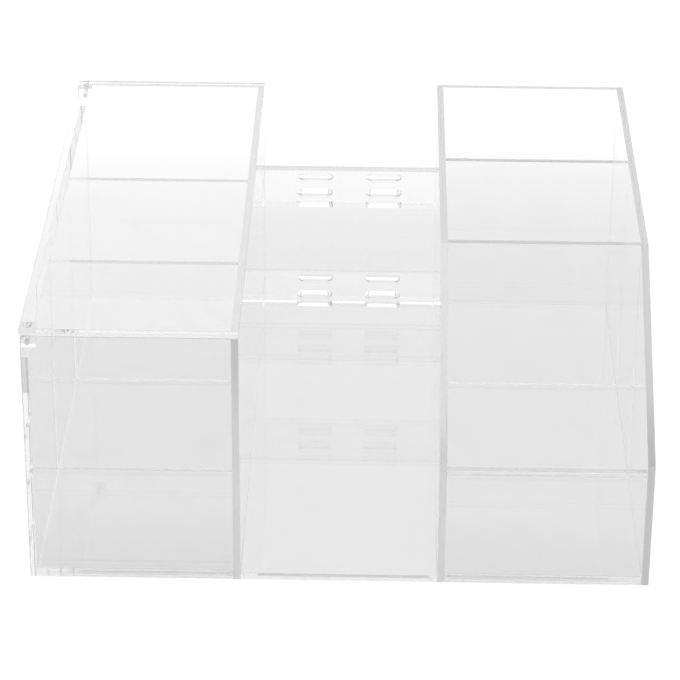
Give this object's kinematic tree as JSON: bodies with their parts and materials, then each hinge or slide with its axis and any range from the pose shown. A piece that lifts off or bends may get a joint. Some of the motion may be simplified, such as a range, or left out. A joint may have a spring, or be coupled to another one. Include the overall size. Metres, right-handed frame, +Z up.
{
  "type": "vanity organizer",
  "caption": "Clear vanity organizer with a hinged-lid bin, an open tray with slotted tool plates and an open bin with a sloping rim.",
  "frame": {"origin": "middle of the square footprint, on the surface that the organizer stands on", "axes": "+X to the right seen from the front, +Y to the back, +Z up; the lidded bin is on the -X side"},
  "size_m": [0.254, 0.254, 0.1143],
  "materials": {
    "clear_acrylic": "clear cast sheet, polished edges",
    "hinge_steel": "plain drawn pin"
  },
  "bodies": {
    "case": {"left_outer_wall": "clear_acrylic", "left_inner_wall": "clear_acrylic", "right_inner_wall": "clear_acrylic", "right_outer_wall": "clear_acrylic", "left_floor": "clear_acrylic", "left_front_panel": "clear_acrylic", "left_back_panel": "clear_acrylic", "left_divider_front": "clear_acrylic", "left_divider_rear": "clear_acrylic", "hinge_pin_front": "hinge_steel", "hinge_pin_rear": "hinge_steel", "centre_floor": "clear_acrylic", "centre_back_panel": "clear_acrylic", "upper_slot_plate": "clear_acrylic", "lower_slot_plate": "clear_acrylic", "right_floor": "clear_acrylic", "right_front_panel": "clear_acrylic", "right_back_panel": "clear_acrylic", "right_divider_front": "clear_acrylic", "right_divider_rear": "clear_acrylic"},
    "lid": {"lid_plate": "clear_acrylic", "hinge_block_front": "clear_acrylic", "hinge_block_rear": "clear_acrylic"}
  },
  "joints": [
    {"name": "lid_hinge", "type": "hinge", "parent": "case", "child": "lid", "pos_m": [-0.12383, 0, 0.10812], "axis": [0, -1, 0], "range_deg": [0, 94]}
  ]
}
